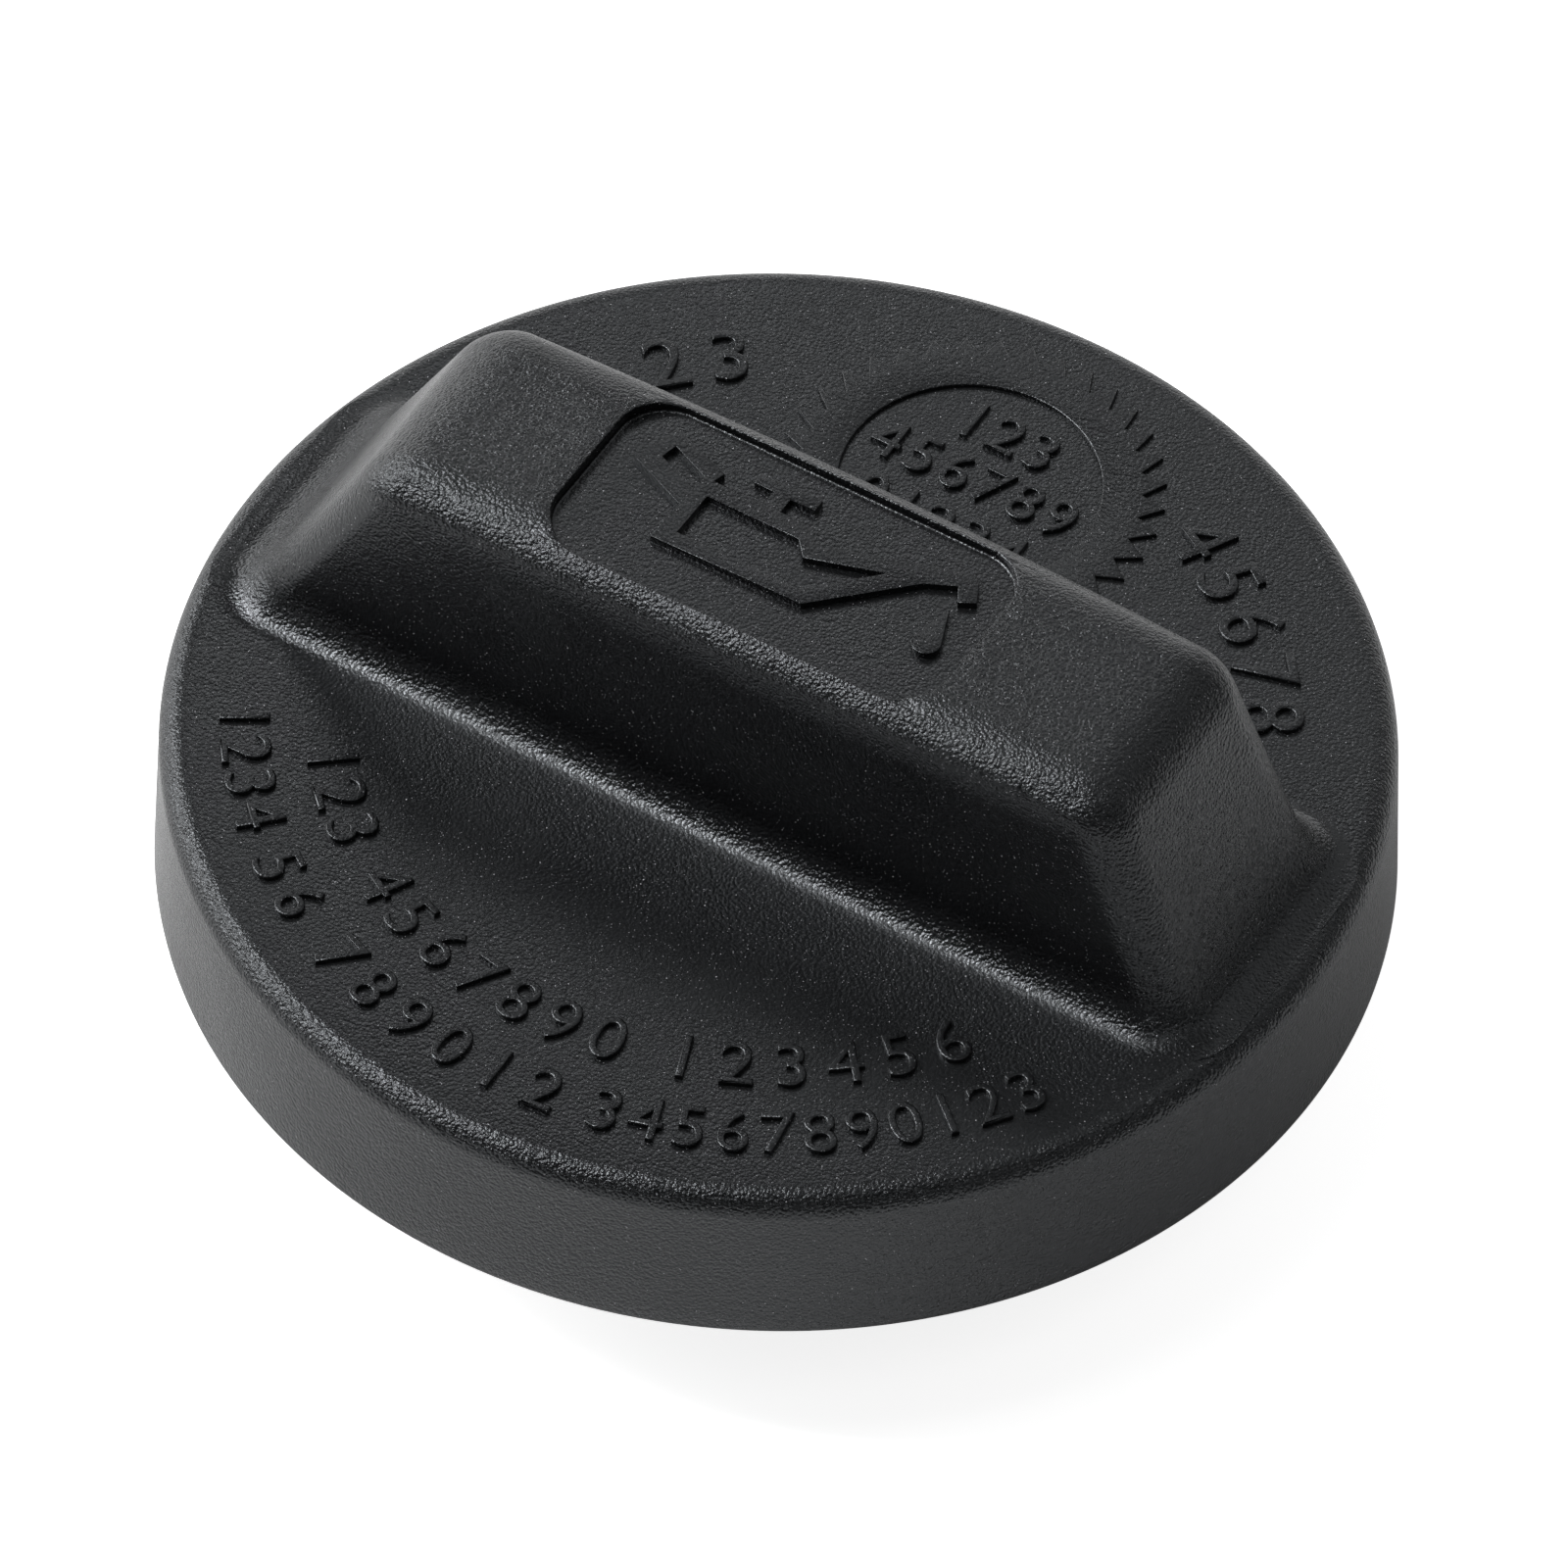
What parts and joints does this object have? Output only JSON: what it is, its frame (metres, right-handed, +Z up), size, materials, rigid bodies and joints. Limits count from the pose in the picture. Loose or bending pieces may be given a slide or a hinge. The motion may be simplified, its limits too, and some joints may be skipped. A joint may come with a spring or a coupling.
{
  "type": "oil filler cap",
  "caption": "Round twist-lock oil filler cap with a ramped bar grip, a pocket for an oil-can sign, a skirted disc, a bayonet plug below and a rubber seal ring.",
  "frame": {"origin": "on the cap's axis, at the open end of the plug, which the cap stands on", "axes": "+Z up along the cap's axis, out through the grip; X along the grip; +Y towards the top of the sign in the grip's pocket"},
  "size_m": [0.064, 0.064, 0.0319],
  "materials": {
    "cover_plastic": "fine leathery moulded grain, matt",
    "plug_plastic": "plain moulded, satin",
    "seal_rubber": "smooth moulded rubber"
  },
  "bodies": {
    "root": {"cover": "cover_plastic", "bayonet_plug": "plug_plastic", "seal_ring": "seal_rubber"}
  },
  "joints": []
}
